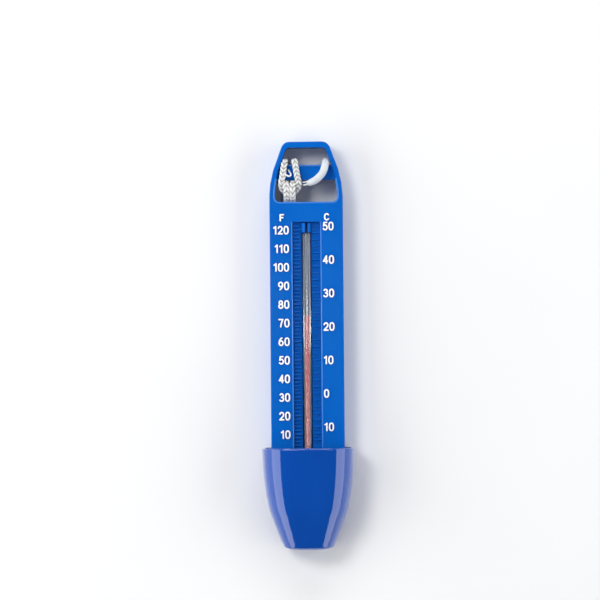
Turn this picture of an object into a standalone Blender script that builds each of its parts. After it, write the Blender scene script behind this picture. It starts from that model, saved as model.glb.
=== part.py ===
"""Floating pool thermometer: scale body, press-on scoop cup, spirit-filled glass tube and hanging cord.

The part lies on its back.  +Z points out of the scale's face, +Y towards the hanging eye and
+X towards the Celsius side.  The origin is on the surface, under the middle of the object.
Run with: blender --background --python part.py
"""
import math

import bmesh
import bpy
from mathutils import Euler, Vector

MM = 0.001

# Overall sizes
LENGTH = 178.0 * MM
TOP_Y = LENGTH / 2
BOTTOM_Y = -LENGTH / 2
BODY_DEPTH = 12.0 * MM
WALL = 2.0 * MM
EDGE_ROUND = 0.5 * MM
FIT_GAP = 0.3 * MM

# Scale body: half widths of the outline at distances below the top end (mm)
EYE_STATIONS = ((7.4, 0.0), (9.3, 0.6), (10.5, 2.2), (11.4, 4.6), (12.6, 7.7), (14.0, 11.6), (15.0, 15.5),
                (15.7, 19.4), (16.05, 24.0))
EYE_STEP = 1.6 * MM
OUTLINE_STEP = 0.3 * MM
OUTLINE_TURN = math.radians(7.0)
OUTLINE_ROUNDS = 10
WINDOW_ROUNDS = 26
PLATE_HALF_WIDTH = 16.2 * MM
TONGUE_START_Y = -48.0 * MM
TONGUE_END_Y = -80.0 * MM
TONGUE_HALF_WIDTH = 12.4 * MM
TONGUE_BACK_Z = 2.3 * MM
FACE_UNDERSIDE_Z = 10.0 * MM

# Hanging eye
EYE_TOP_Y = TOP_Y - 2.5 * MM
WINDOW_BOTTOM_Y = 62.4 * MM
CROSSBAR_LOW_Y = 72.4 * MM
CROSSBAR_HIGH_Y = 78.7 * MM
CROSSBAR_BACK_Z = 6.5 * MM
CROSSBAR_FRONT_Z = 10.0 * MM

# Channel that holds the glass tube
CHANNEL_HALF_WIDTH = 6.1 * MM
CHANNEL_TOP_Y = 54.0 * MM
CHANNEL_FLOOR_Z = 10.2 * MM
CHANNEL_UNDERSIDE_Z = 8.4 * MM
GROOVE_HALF_WIDTH = 2.2 * MM
GROOVE_FLOOR_Z = 8.1 * MM
GROOVE_UNDERSIDE_Z = 6.6 * MM
CHANNEL_WALL = 1.6 * MM
BULB_WINDOW = (-80.5 * MM, -63.0 * MM, 3.4 * MM)
CLIP_LENGTH = 4.0 * MM
CLIP_CENTRES_Y = (51.4 * MM, -58.0 * MM)
CLIP_RADIUS = 2.25 * MM
CLIP_BORE_RADIUS = 1.8 * MM
CLIP_SLOT = 1.0 * MM

# Glass tube and its filling
TUBE_AXIS_Z = 10.1 * MM
STEM_RADIUS = 1.65 * MM
BORE_RADIUS = 0.62 * MM
BULB_RADIUS = 2.6 * MM
BULB_WALL = 0.5 * MM
BULB_LOW_Y = -78.6 * MM
BULB_HIGH_Y = -67.0 * MM
NECK_Y = -64.5 * MM
STEM_TOP_Y = 52.6 * MM
TIP_TOP_Y = 53.7 * MM
SPIRIT_RADIUS = 0.55 * MM
SPIRIT_GAP = 0.05 * MM
READING_Y = 13.1 * MM
MENISCUS_LENGTH = 0.8 * MM
ENAMEL_LOW_Y = -54.0 * MM
ENAMEL_HIGH_Y = 48.9 * MM
ENAMEL_THICKNESS = 0.15 * MM
ENAMEL_HALF_ANGLE = math.radians(62.0)

# Scoop cup: half widths of its outline at heights above its bottom
CUP_STATIONS = ((0.0, 9.7), (0.7, 10.7), (2.4, 11.7), (6.0, 13.2), (9.5, 14.6), (13.0, 15.9), (16.4, 17.1),
                (21.7, 18.3), (30.0, 19.5), (44.1, 20.4))
CUP_HEIGHT = 44.1 * MM
CUP_RIM_HALF_WIDTH = 20.4 * MM
CUP_RIM_DEPTH = 27.0 * MM
CUP_DEPTH_PER_HALF_WIDTH = 1.05
CUP_WALL = 1.7 * MM
CUP_FLOOR = 1.9 * MM
CUP_CORNER = 4.0 * MM
CUP_ROUNDNESS = 3.2
CUP_RING_STEPS = 28
CUP_RAIL_Y = (-76.0 * MM, -48.5 * MM)
CUP_RAIL_TOP_Z = 9.0 * MM
SNAP_Y = (-62.0 * MM, -58.0 * MM)
SNAP_Z = (4.0 * MM, 7.0 * MM)
SNAP_DEPTH = 1.0 * MM
SNAP_NOTCH_INNER_X = 8.0 * MM
RAIL_OUTER_X = 25.0 * MM

# Cord
CORD_DIAMETER = 2.7 * MM
CORD_BEVEL_RESOLUTION = 2
CORD_STEP = 2.2 * CORD_DIAMETER
KNOT_STEP = 1.0 * CORD_DIAMETER
HANK_HALF_WIDTH = 13.1 * MM
HANK_END_Y = (-22.0 * MM, 28.0 * MM)
HANK_Z = (0.4 * MM, 6.05 * MM)
TIE_Y = (2.0 * MM, 6.0 * MM)
TIE_THICKNESS = 0.3 * MM

# Route of the hitch, from the run's leg to the tail's leg (mm)
HITCH_ROUTE = (
    (-8.65, 60.4, 6.2), (-8.65, 62.6, 7.5), (-8.65, 64.2, 10.0), (-8.65, 66.0, 12.0), (-8.65, 68.4, 12.6),
    (-8.7, 70.3, 11.4), (-8.7, 70.9, 9.0), (-8.7, 70.9, 6.6), (-8.9, 71.5, 5.2), (-9.2, 73.2, 4.8),
    (-9.3, 76.8, 4.8), (-9.2, 79.4, 4.9), (-9.1, 80.5, 6.6), (-9.1, 80.6, 9.4), (-9.4, 79.5, 11.3),
    (-9.8, 77.2, 11.6), (-10.6, 73.6, 11.6), (-11.4, 70.8, 11.2), (-10.7, 68.4, 9.8), (-9.0, 67.3, 9.0),
    (-7.2, 67.0, 8.8), (-5.4, 67.3, 9.0), (-3.7, 68.4, 9.8), (-3.0, 70.8, 11.2), (-3.8, 73.6, 11.6),
    (-4.6, 77.2, 11.6), (-4.9, 79.5, 11.3), (-5.05, 80.6, 9.4), (-5.1, 80.5, 6.6), (-5.1, 79.4, 4.9),
    (-5.1, 76.8, 4.8), (-5.2, 73.2, 4.8), (-5.5, 71.5, 5.2), (-5.7, 70.9, 6.6), (-5.7, 70.9, 9.0),
    (-5.7, 70.3, 11.4), (-5.75, 68.4, 12.6), (-5.75, 66.0, 12.0), (-5.75, 64.2, 10.0), (-5.75, 62.6, 7.5),
    (-5.75, 60.4, 6.2))

# Route of the run, from the hitch down behind the face to the hank (mm)
RUN_ROUTE = ((-8.7, 59.8, 5.9), (-9.3, 56.0, 5.3), (-10.2, 50.0, 4.6), (-11.2, 44.0, 3.2), (-11.65, 39.5, 2.1),
             (-11.65, 36.6, 1.8))

# Route of the tail, round behind the face, up behind the crossbar and down in front of it (mm)
TAIL_ROUTE = (
    (-5.75, 59.8, 5.9), (-6.0, 56.0, 5.4), (-6.1, 50.5, 5.0), (-5.6, 46.4, 4.2), (-3.4, 43.6, 3.2),
    (-0.2, 42.7, 2.6), (3.0, 43.6, 2.1), (5.2, 46.3, 1.8), (5.6, 49.4, 1.6), (4.3, 52.3, 1.5),
    (1.3, 54.1, 1.5), (-2.4, 55.2, 1.5), (-5.2, 56.9, 1.5), (-6.8, 59.6, 1.5), (-7.2, 63.4, 1.5),
    (-6.9, 66.8, 1.5), (-5.6, 70.2, 1.5), (-3.2, 73.2, 1.45), (0.4, 75.4, 1.45), (4.0, 77.5, 1.7),
    (6.7, 79.2, 3.1), (8.2, 80.1, 5.6), (8.65, 80.35, 8.5), (8.6, 79.6, 11.3), (8.2, 77.6, 13.1),
    (7.4, 75.4, 13.8), (6.0, 73.6, 13.6), (4.2, 72.1, 13.0), (2.3, 71.2, 12.3), (0.8, 70.9, 11.9))

# Material name: (base colour, roughness, metallic)
MATERIALS = {
    "blue_polypropylene": ((0.0, 0.108, 0.52), 0.34, 0.0),
    "clear_glass": ((0.86, 0.88, 0.9), 0.05, 0.0),
    "white_enamel": ((0.87, 0.87, 0.85), 0.3, 0.0),
    "red_spirit": ((0.62, 0.02, 0.04), 0.12, 0.0),
    "white_braid": ((0.86, 0.86, 0.84), 0.85, 0.0),
    "paper_tie": ((0.9, 0.9, 0.88), 0.6, 0.0),
}


def clear_scene():
    for old in list(bpy.data.objects):
        bpy.data.objects.remove(old, do_unlink=True)


def make_collection(name):
    collection = bpy.data.collections.new(name)
    bpy.context.scene.collection.children.link(collection)
    return collection


def make_material(name):
    colour, roughness, metallic = MATERIALS[name]
    material = bpy.data.materials.new(name)
    material.use_nodes = True
    shader = material.node_tree.nodes["Principled BSDF"]
    shader.inputs["Base Color"].default_value = (*colour, 1.0)
    shader.inputs["Roughness"].default_value = roughness
    shader.inputs["Metallic"].default_value = metallic
    return material


def add_object(name, data, collection):
    created = bpy.data.objects.new(name, data)
    collection.objects.link(created)
    return created


def finish_part(part, material_name, smooth=True):
    """Give a sub-part its own material and its shading."""
    part.data.materials.clear()
    part.data.materials.append(make_material(material_name))
    if smooth and part.type == "MESH":
        part.data.shade_smooth()
        part.data.set_sharp_from_angle(angle=math.radians(35.0))
    return part


def hide_helper(helper):
    helper.hide_render = True
    helper.display_type = "WIRE"


def boolean(target, helper, operation):
    """Cut, join or keep the common volume of a part and a helper solid."""
    hide_helper(helper)
    modifier = target.modifiers.new(f"{operation.lower()}_{helper.name}", "BOOLEAN")
    modifier.operation = operation
    modifier.solver = "EXACT"
    modifier.object = helper


def block(name, low, high, collection):
    """Box between two corners."""
    mesh = bmesh.new()
    bmesh.ops.create_cube(mesh, size=1.0)
    size = Vector(high) - Vector(low)
    middle = (Vector(high) + Vector(low)) / 2
    for vertex in mesh.verts:
        vertex.co = Vector([vertex.co[axis] * size[axis] + middle[axis] for axis in range(3)])
    data = bpy.data.meshes.new(name)
    mesh.to_mesh(data)
    mesh.free()
    return add_object(name, data, collection)


def rod_along_y(name, radius, centre, length, sides, collection):
    """Round bar along Y."""
    mesh = bmesh.new()
    bmesh.ops.create_cone(mesh, cap_ends=True, segments=sides, radius1=radius, radius2=radius, depth=length)
    bmesh.ops.rotate(mesh, verts=mesh.verts, matrix=Euler((math.pi / 2, 0, 0)).to_matrix())
    bmesh.ops.translate(mesh, verts=mesh.verts, vec=centre)
    data = bpy.data.meshes.new(name)
    mesh.to_mesh(data)
    mesh.free()
    return add_object(name, data, collection)


def curve_to_mesh(curve_object, collection):
    """Replace a curve object by the welded mesh of its evaluated shape."""
    bpy.context.view_layer.update()
    evaluated = curve_object.evaluated_get(bpy.context.evaluated_depsgraph_get())
    data = bpy.data.meshes.new_from_object(evaluated)
    mesh = bmesh.new()
    mesh.from_mesh(data)
    bmesh.ops.remove_doubles(mesh, verts=mesh.verts, dist=0.01 * MM)
    bmesh.ops.recalc_face_normals(mesh, faces=mesh.faces)
    mesh.to_mesh(data)
    mesh.free()
    name = curve_object.name
    matrix = curve_object.matrix_world.copy()
    bpy.data.objects.remove(curve_object, do_unlink=True)
    solid = add_object(name, data, collection)
    solid.matrix_world = matrix
    return solid


def flat_plate(name, outline, low, high, collection, edge_round=0.0):
    """Solid plate of an XY outline between two heights, with rounded outer edges if asked."""
    curve = bpy.data.curves.new(name, "CURVE")
    curve.dimensions = "2D"
    curve.fill_mode = "BOTH"
    curve.extrude = (high - low) / 2 - edge_round
    curve.bevel_depth = edge_round
    curve.bevel_resolution = 1
    curve.offset = -edge_round
    spline = curve.splines.new("POLY")
    spline.points.add(len(outline) - 1)
    for point, (x, y) in zip(spline.points, outline):
        point.co = (x, y, 0.0, 1.0)
    spline.use_cyclic_u = True
    plate = add_object(name, curve, collection)
    plate.location.z = (low + high) / 2
    return curve_to_mesh(plate, collection)


def smooth_route(points, step):
    """Points at an even step along a smooth curve through the given ones."""
    knots = [Vector(point) for point in points]
    knots = [2 * knots[0] - knots[1], *knots, 2 * knots[-1] - knots[-2]]
    dense = []
    samples = 24
    for before, start, end, after in zip(knots, knots[1:], knots[2:], knots[3:]):
        for index in range(samples):
            t = index / samples
            dense.append(0.5 * (2 * start + (end - before) * t
                                + (2 * before - 5 * start + 4 * end - after) * t ** 2
                                + (3 * start - before - 3 * end + after) * t ** 3))
    dense.append(knots[-2])
    lengths = [0.0]
    for first, second in zip(dense, dense[1:]):
        lengths.append(lengths[-1] + (second - first).length)
    count = max(2, round(lengths[-1] / step))
    route = []
    cursor = 0
    for index in range(count + 1):
        wanted = lengths[-1] * index / count
        while cursor < len(lengths) - 2 and lengths[cursor + 1] < wanted:
            cursor += 1
        span = lengths[cursor + 1] - lengths[cursor]
        route.append(dense[cursor].lerp(dense[cursor + 1], (wanted - lengths[cursor]) / span))
    return route


def cord_tube(name, route_mm, step, collection):
    """Round cord along a smooth route, with flat ends."""
    route = smooth_route([[value * MM for value in point] for point in route_mm], step)
    curve = bpy.data.curves.new(name, "CURVE")
    curve.dimensions = "3D"
    curve.bevel_depth = CORD_DIAMETER / 2
    curve.bevel_resolution = CORD_BEVEL_RESOLUTION
    curve.use_fill_caps = True
    spline = curve.splines.new("POLY")
    spline.points.add(len(route) - 1)
    for point, place in zip(spline.points, route):
        point.co = (*place, 1.0)
    return add_object(name, curve, collection)


def mirrored(right_side):
    """Closed outline from its right side, listed from the top down."""
    return right_side + [(-x, y) for x, y in reversed(right_side)]


def body_outline():
    """Scale body seen from the front: pointed-arch eye, straight plate and tapered tongue."""
    eye = [(half_width * MM, TOP_Y - depth * MM, 0.0) for half_width, depth in EYE_STATIONS]
    right = [(point.x, point.y) for point in smooth_route(eye, EYE_STEP)]
    right.append((PLATE_HALF_WIDTH, TONGUE_START_Y + 4.0 * MM))
    right.append((PLATE_HALF_WIDTH - 0.2 * MM, TONGUE_START_Y))
    right.append((TONGUE_HALF_WIDTH, TONGUE_END_Y + 1.5 * MM))
    right.append((TONGUE_HALF_WIDTH - 1.5 * MM, TONGUE_END_Y))
    return mirrored(right)


def eased(outline, rounds):
    """Outline with rounded corners: fine even points, averaged with their neighbours and thinned."""
    points = []
    for here, after in zip(outline, outline[1:] + outline[:1]):
        here = Vector(here)
        after = Vector(after)
        count = max(1, round((after - here).length / OUTLINE_STEP))
        points.extend(here.lerp(after, index / count) for index in range(count))
    for _ in range(rounds):
        points = [(points[index - 1] + 2 * points[index] + points[(index + 1) % len(points)]) / 4
                  for index in range(len(points))]
    kept = [points[0]]
    for here, after in zip(points[1:], points[2:] + points[:1]):
        if (here - kept[-1]).angle(after - here) > OUTLINE_TURN / 2:
            kept.append(here)
    return [tuple(point) for point in kept]


def inset(outline, distance):
    """Outline moved inwards by a distance."""
    moved = []
    count = len(outline)
    for index in range(count):
        before = Vector(outline[index - 1])
        here = Vector(outline[index])
        after = Vector(outline[(index + 1) % count])
        first = (here - before).normalized()
        second = (after - here).normalized()
        normal = (Vector((first.y, -first.x)) + Vector((second.y, -second.x))).normalized()
        scale = distance / max(0.5, normal.dot(Vector((first.y, -first.x))))
        moved.append(tuple(here + normal * scale))
    return moved


def clipped(outline, low, high):
    """Part of a convex outline between two Y values."""
    kept = []
    count = len(outline)
    for index in range(count):
        x, y = outline[index]
        next_x, next_y = outline[(index + 1) % count]
        if low <= y <= high:
            kept.append((x, y))
        crossings = []
        for limit in (low, high):
            if (y - limit) * (next_y - limit) < 0:
                share = (limit - y) / (next_y - y)
                crossings.append((share, (x + (next_x - x) * share, limit)))
        kept.extend(point for _, point in sorted(crossings))
    return kept


def add_clip(body, index, centre_y, cutters):
    """C-shaped clip that holds the glass stem, slotted at the front."""
    centre = (0.0, centre_y, TUBE_AXIS_Z)
    ring = rod_along_y(f"clip_{index}", CLIP_RADIUS, centre, CLIP_LENGTH, 32, cutters)
    bore = rod_along_y(f"clip_bore_{index}", CLIP_BORE_RADIUS, centre, 2 * CLIP_LENGTH, 32, cutters)
    slot = block(f"clip_slot_{index}", (-CLIP_SLOT / 2, centre_y - CLIP_LENGTH, TUBE_AXIS_Z),
                 (CLIP_SLOT / 2, centre_y + CLIP_LENGTH, BODY_DEPTH + WALL), cutters)
    boolean(ring, bore, "DIFFERENCE")
    boolean(ring, slot, "DIFFERENCE")
    boolean(body, ring, "UNION")


def make_scale_body(parts, cutters):
    """One moulding: open-backed shell with the face, the eye, the channel and the clips."""
    far = 1.0 * MM
    outline = body_outline()
    inner = inset(outline, WALL)
    body = flat_plate("scale_body", eased(outline, OUTLINE_ROUNDS), 0.0, BODY_DEPTH, parts, EDGE_ROUND)

    hollow_outline = clipped(inner, TONGUE_END_Y, WINDOW_BOTTOM_Y + far)
    hollow = flat_plate("hollow", hollow_outline, -far, FACE_UNDERSIDE_Z, cutters)
    channel_reach = CHANNEL_HALF_WIDTH + CHANNEL_WALL
    channel_back = block("channel_back", (-channel_reach, BOTTOM_Y, CHANNEL_UNDERSIDE_Z),
                         (channel_reach, CHANNEL_TOP_Y + CHANNEL_WALL, BODY_DEPTH), cutters)
    groove_reach = GROOVE_HALF_WIDTH + CHANNEL_WALL
    groove_back = block("groove_back", (-groove_reach, BOTTOM_Y, GROOVE_UNDERSIDE_Z),
                        (groove_reach, CHANNEL_TOP_Y + far, BODY_DEPTH), cutters)
    boolean(hollow, channel_back, "DIFFERENCE")
    boolean(hollow, groove_back, "DIFFERENCE")
    boolean(body, hollow, "DIFFERENCE")

    window_outline = eased(clipped(inner, WINDOW_BOTTOM_Y, EYE_TOP_Y), WINDOW_ROUNDS)
    eye = flat_plate("eye_window", window_outline, -far, BODY_DEPTH + far, cutters)
    boolean(body, eye, "DIFFERENCE")
    crossbar_outline = clipped(inset(outline, WALL / 2), CROSSBAR_LOW_Y, CROSSBAR_HIGH_Y)
    crossbar = flat_plate("crossbar", crossbar_outline, CROSSBAR_BACK_Z, CROSSBAR_FRONT_Z, cutters)
    boolean(body, crossbar, "UNION")

    channel = block("channel", (-CHANNEL_HALF_WIDTH, BOTTOM_Y - far, CHANNEL_FLOOR_Z),
                    (CHANNEL_HALF_WIDTH, CHANNEL_TOP_Y, BODY_DEPTH + far), cutters)
    groove = block("groove", (-GROOVE_HALF_WIDTH, BOTTOM_Y - far, GROOVE_FLOOR_Z),
                   (GROOVE_HALF_WIDTH, CHANNEL_TOP_Y, BODY_DEPTH + far), cutters)
    low, high, half = BULB_WINDOW
    bulb_window = block("bulb_window", (-half, BOTTOM_Y, -far), (half, high, BODY_DEPTH + far), cutters)
    relief = block("tongue_relief", (-2 * PLATE_HALF_WIDTH, BOTTOM_Y, -far),
                   (2 * PLATE_HALF_WIDTH, BOTTOM_Y + CUP_HEIGHT + 2 * FIT_GAP, TONGUE_BACK_Z), cutters)
    for cutter in (channel, groove, bulb_window, relief):
        boolean(body, cutter, "DIFFERENCE")
    for side in (-1, 1):
        x_values = sorted((side * SNAP_NOTCH_INNER_X, side * (PLATE_HALF_WIDTH + WALL)))
        notch = block(f"snap_notch_{side + 1}", (x_values[0], SNAP_Y[0] - FIT_GAP, SNAP_Z[0] - FIT_GAP),
                      (x_values[1], SNAP_Y[1] + FIT_GAP, SNAP_Z[1] + FIT_GAP), cutters)
        boolean(body, notch, "DIFFERENCE")
    for index, centre_y in enumerate(CLIP_CENTRES_Y):
        add_clip(body, index, centre_y, cutters)
    return finish_part(body, "blue_polypropylene")


def cup_ring(height, wall):
    """D-shaped section of the cup at a height, moved inwards by the wall."""
    stations = [(h * MM, w * MM) for h, w in CUP_STATIONS]
    half = stations[-1][1]
    for (low, low_half), (high, high_half) in zip(stations, stations[1:]):
        if low <= height <= high:
            half = low_half + (high_half - low_half) * (height - low) / (high - low)
    depth = CUP_RIM_DEPTH - CUP_DEPTH_PER_HALF_WIDTH * (CUP_RIM_HALF_WIDTH - half)
    half -= wall
    top = depth - wall
    bottom = wall + max(0.0, 0.8 * MM - 0.5 * height) * (wall == 0.0)
    corner = CUP_CORNER - wall
    right = []
    for step in range(5):
        angle = math.pi / 2 * step / 4
        right.append((half - corner + corner * math.sin(angle), bottom + corner - corner * math.cos(angle)))
    for step in range(1, CUP_RING_STEPS):
        angle = math.pi / 2 * step / CUP_RING_STEPS
        across = math.cos(angle) ** (2 / CUP_ROUNDNESS)
        up = math.sin(angle) ** (2 / CUP_ROUNDNESS)
        right.append((half * across, bottom + corner + (top - bottom - corner) * up))
    ring = right + [(0.0, top)] + [(-x, z) for x, z in reversed(right)]
    return [(x, BOTTOM_Y + height, z) for x, z in ring]


def loft(name, rings, collection):
    """Closed solid through a row of rings with equal point counts."""
    mesh = bmesh.new()
    rows = [[mesh.verts.new(point) for point in ring] for ring in rings]
    count = len(rows[0])
    for row, following in zip(rows, rows[1:]):
        for index in range(count):
            after = (index + 1) % count
            mesh.faces.new((row[index], row[after], following[after], following[index]))
    mesh.faces.new(rows[0])
    mesh.faces.new(rows[-1])
    bmesh.ops.recalc_face_normals(mesh, faces=mesh.faces)
    data = bpy.data.meshes.new(name)
    mesh.to_mesh(data)
    mesh.free()
    return add_object(name, data, collection)


def make_scoop_cup(parts, cutters):
    """Press-on cup that scoops water round the bulb, with two rails that grip the body's tongue."""
    heights = [station[0] * MM for station in CUP_STATIONS]
    cup = loft("scoop_cup", [cup_ring(height, 0.0) for height in heights], parts)
    inner_heights = [height + CUP_FLOOR * (height < CUP_HEIGHT / 2) for height in heights[:-1]]
    inner_rings = [cup_ring(height, CUP_WALL) for height in inner_heights]
    inner_rings += [cup_ring(CUP_HEIGHT, CUP_WALL)]
    mouth = [(x, y + WALL, z) for x, y, z in inner_rings[-1]]
    cavity = loft("cup_cavity", inner_rings + [mouth], cutters)
    low, high = CUP_RAIL_Y
    taper = (PLATE_HALF_WIDTH - TONGUE_HALF_WIDTH) / (TONGUE_START_Y - TONGUE_END_Y)
    for side in (-1, 1):
        edge_low = TONGUE_HALF_WIDTH + (low - TONGUE_END_Y) * taper + FIT_GAP
        edge_high = TONGUE_HALF_WIDTH + (high - TONGUE_END_Y) * taper + FIT_GAP
        outline = [(side * edge_low, low), (side * edge_high, high),
                   (side * RAIL_OUTER_X, high), (side * RAIL_OUTER_X, low)]
        rail = flat_plate(f"cup_rail_{side + 1}", outline, CUP_WALL / 2, CUP_RAIL_TOP_Z, cutters)
        snap_edge = TONGUE_HALF_WIDTH + (SNAP_Y[0] - TONGUE_END_Y) * taper - SNAP_DEPTH
        x_values = sorted((side * snap_edge, side * RAIL_OUTER_X))
        snap = block(f"cup_snap_{side + 1}", (x_values[0], SNAP_Y[0], SNAP_Z[0]),
                     (x_values[1], SNAP_Y[1], SNAP_Z[1]), cutters)
        boolean(cavity, rail, "DIFFERENCE")
        boolean(cavity, snap, "DIFFERENCE")
    boolean(cup, cavity, "DIFFERENCE")
    return finish_part(cup, "blue_polypropylene")


def turned(name, profile, collection, material_name, steps=24):
    """Solid turned about the tube's axis from (radius, y) points that run from the top down outside."""
    data = bpy.data.meshes.new(name)
    mesh = bmesh.new()
    vertices = [mesh.verts.new((radius, 0.0, y)) for radius, y in profile]
    for first, second in zip(vertices, vertices[1:]):
        mesh.edges.new((first, second))
    if profile[0][0] > 0.0:
        mesh.edges.new((vertices[-1], vertices[0]))
    mesh.to_mesh(data)
    mesh.free()
    part = add_object(name, data, collection)
    part.rotation_euler = (-math.pi / 2, 0.0, 0.0)
    part.location = (0.0, 0.0, TUBE_AXIS_Z)
    screw = part.modifiers.new("turn", "SCREW")
    screw.axis = "Z"
    screw.steps = steps
    screw.render_steps = steps
    screw.use_merge_vertices = True
    screw.merge_threshold = 0.00001
    return finish_part(part, material_name)


def arc_profile(radius_start, y_start, radius_end, y_end, steps):
    """Quarter ellipse between two (radius, y) points; it leaves the first one along the axis."""
    points = []
    for step in range(1, steps + 1):
        angle = math.pi / 2 * step / steps
        radius = radius_start + (radius_end - radius_start) * (1 - math.cos(angle))
        points.append((radius, y_start + (y_end - y_start) * math.sin(angle)))
    return points


def make_glass_tube(parts):
    """Capillary stem with a blown bulb; the bore is open at the top and closed by its own fused tip."""
    outer = [(STEM_RADIUS, STEM_TOP_Y), (STEM_RADIUS, NECK_Y), (BULB_RADIUS, BULB_HIGH_Y)]
    round_start = BULB_LOW_Y + BULB_RADIUS
    outer.append((BULB_RADIUS, round_start))
    outer += arc_profile(BULB_RADIUS, round_start, 0.0, BULB_LOW_Y, 6)
    inner_radius = BULB_RADIUS - BULB_WALL
    inner = [(inner_radius, round_start)]
    inner += arc_profile(inner_radius, round_start, 0.0, BULB_LOW_Y + BULB_WALL, 6)
    inner.reverse()
    inner += [(inner_radius, BULB_HIGH_Y - 0.2 * MM), (BORE_RADIUS, NECK_Y + 0.6 * MM)]
    inner.append((BORE_RADIUS, STEM_TOP_Y))
    turned("glass_tube", outer + inner, parts, "clear_glass")


def make_filling(parts):
    """Tip, enamel strip and the three bodies of red spirit."""
    turned("tube_tip", [(0.0, TIP_TOP_Y), (0.9 * MM, TIP_TOP_Y - 0.15 * MM), (1.5 * MM, TIP_TOP_Y - 0.6 * MM),
                        (STEM_RADIUS, STEM_TOP_Y + SPIRIT_GAP), (0.0, STEM_TOP_Y + SPIRIT_GAP)],
           parts, "clear_glass")
    fill_radius = BULB_RADIUS - BULB_WALL - SPIRIT_GAP
    round_start = BULB_LOW_Y + BULB_RADIUS
    fill = [(0.0, NECK_Y + 0.4 * MM), (SPIRIT_RADIUS, NECK_Y + 0.4 * MM), (fill_radius, BULB_HIGH_Y - 0.3 * MM),
            (fill_radius, round_start)]
    fill += arc_profile(fill_radius, round_start, 0.0, BULB_LOW_Y + BULB_WALL + SPIRIT_GAP, 6)
    turned("spirit_in_bulb", fill, parts, "red_spirit")
    column_low = NECK_Y + 0.4 * MM + SPIRIT_GAP
    column_high = READING_Y - MENISCUS_LENGTH - SPIRIT_GAP
    column = [(0.0, column_high), (SPIRIT_RADIUS, column_high), (SPIRIT_RADIUS, column_low), (0.0, column_low)]
    turned("spirit_column", column, parts, "red_spirit", steps=16)
    meniscus_low = READING_Y - MENISCUS_LENGTH
    meniscus = [(0.0, READING_Y - 0.12 * MM), (0.35 * MM, READING_Y - 0.08 * MM), (SPIRIT_RADIUS, READING_Y),
                (SPIRIT_RADIUS, meniscus_low), (0.0, meniscus_low)]
    turned("spirit_meniscus", meniscus, parts, "red_spirit", steps=16)


def make_enamel(parts):
    """Curved white strip on the back of the stem."""
    inner_radius = STEM_RADIUS + 0.03 * MM
    outer_radius = inner_radius + ENAMEL_THICKNESS
    steps = 12
    ring = []
    for radius, direction in ((outer_radius, 1), (inner_radius, -1)):
        for step in range(steps + 1):
            angle = direction * ENAMEL_HALF_ANGLE * (2 * step / steps - 1)
            ring.append((radius * math.sin(angle), TUBE_AXIS_Z - radius * math.cos(angle)))
    rings = [[(x, y, z) for x, z in ring] for y in (ENAMEL_LOW_Y, ENAMEL_HIGH_Y)]
    finish_part(loft("enamel_backing", rings, parts), "white_enamel")


def hank_outline(half_width):
    """Outline of the folded cord, with round ends."""
    outline = []
    for end_y, start in ((HANK_END_Y[1], 0.0), (HANK_END_Y[0], math.pi)):
        for step in range(17):
            angle = start + math.pi * step / 16
            outline.append((half_width * math.cos(angle), end_y + half_width * math.sin(angle)))
    return outline


def make_cord(parts, cutters):
    """Hitch on the crossbar, tail, run, hank and the tie round the hank."""
    for name, route, step in (("cord_hitch", HITCH_ROUTE, KNOT_STEP), ("cord_run", RUN_ROUTE, CORD_STEP),
                              ("cord_tail", TAIL_ROUTE, KNOT_STEP)):
        finish_part(cord_tube(name, route, step, parts), "white_braid")
    hank = flat_plate("cord_hank", hank_outline(HANK_HALF_WIDTH), HANK_Z[0], HANK_Z[1], parts)
    finish_part(hank, "white_braid")
    gap = 0.05 * MM
    reach = HANK_HALF_WIDTH + gap
    inner_low = HANK_Z[0] - gap
    inner_high = HANK_Z[1] + gap
    tie = block("hank_tie", (-reach - TIE_THICKNESS, TIE_Y[0], inner_low - TIE_THICKNESS),
                (reach + TIE_THICKNESS, TIE_Y[1], inner_high + TIE_THICKNESS), parts)
    opening = block("tie_opening", (-reach, TIE_Y[0] - WALL, inner_low),
                    (reach, TIE_Y[1] + WALL, inner_high), cutters)
    boolean(tie, opening, "DIFFERENCE")
    finish_part(tie, "paper_tie", smooth=False)


def main():
    clear_scene()
    parts = make_collection("pool_thermometer")
    cutters = make_collection("cutters")
    make_scale_body(parts, cutters)
    make_scoop_cup(parts, cutters)
    make_glass_tube(parts)
    make_filling(parts)
    make_enamel(parts)
    make_cord(parts, cutters)


main()
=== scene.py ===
"""Looks of the floating pool thermometer: moulded detail, glass tube, braided cord and materials.

Everything is in metres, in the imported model's frame: the thermometer lies on its back, +Z points out
of the scale's face, +Y towards the hanging eye and +X towards the Celsius side.
"""
import math
import random

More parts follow.
